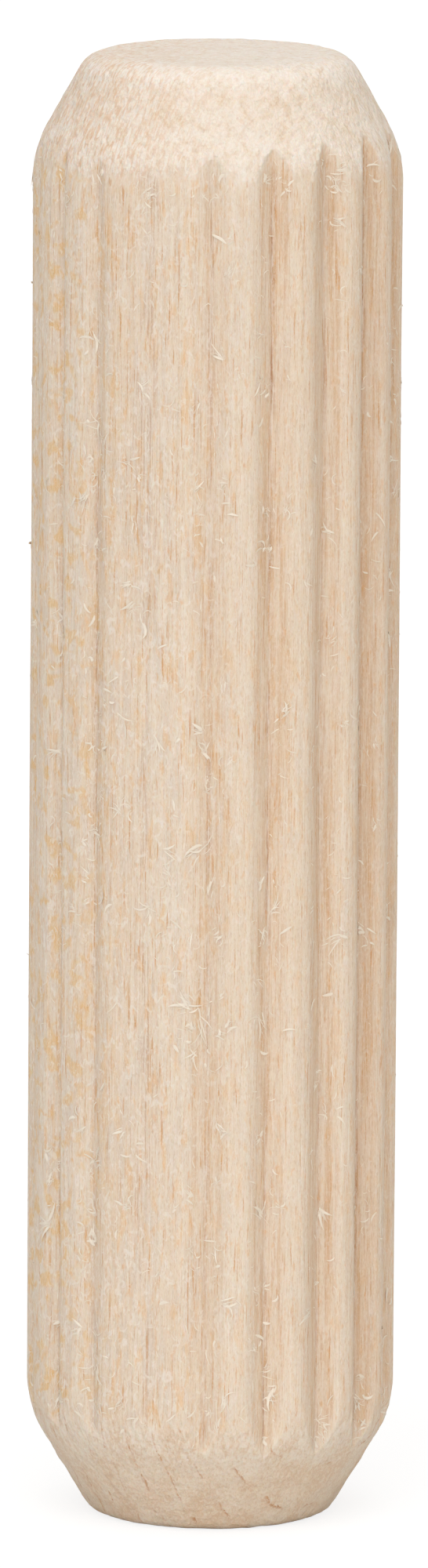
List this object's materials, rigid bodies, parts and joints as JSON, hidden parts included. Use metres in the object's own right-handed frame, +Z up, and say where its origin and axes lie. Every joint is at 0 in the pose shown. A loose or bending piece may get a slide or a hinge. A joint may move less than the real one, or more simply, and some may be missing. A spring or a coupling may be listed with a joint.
{
  "type": "dowel pin",
  "caption": "Round hardwood dowel pin with straight flutes along its length and a chamfer at each end, for glued joints.",
  "frame": {"origin": "centre of the lower end face, on the surface that the pin stands on", "axes": "+Z up along the pin's axis, -Y towards the front"},
  "size_m": [0.01, 0.01, 0.04],
  "materials": {
    "hardwood": "matte"
  },
  "bodies": {
    "root": {"dowel_pin": "hardwood"}
  },
  "joints": []
}
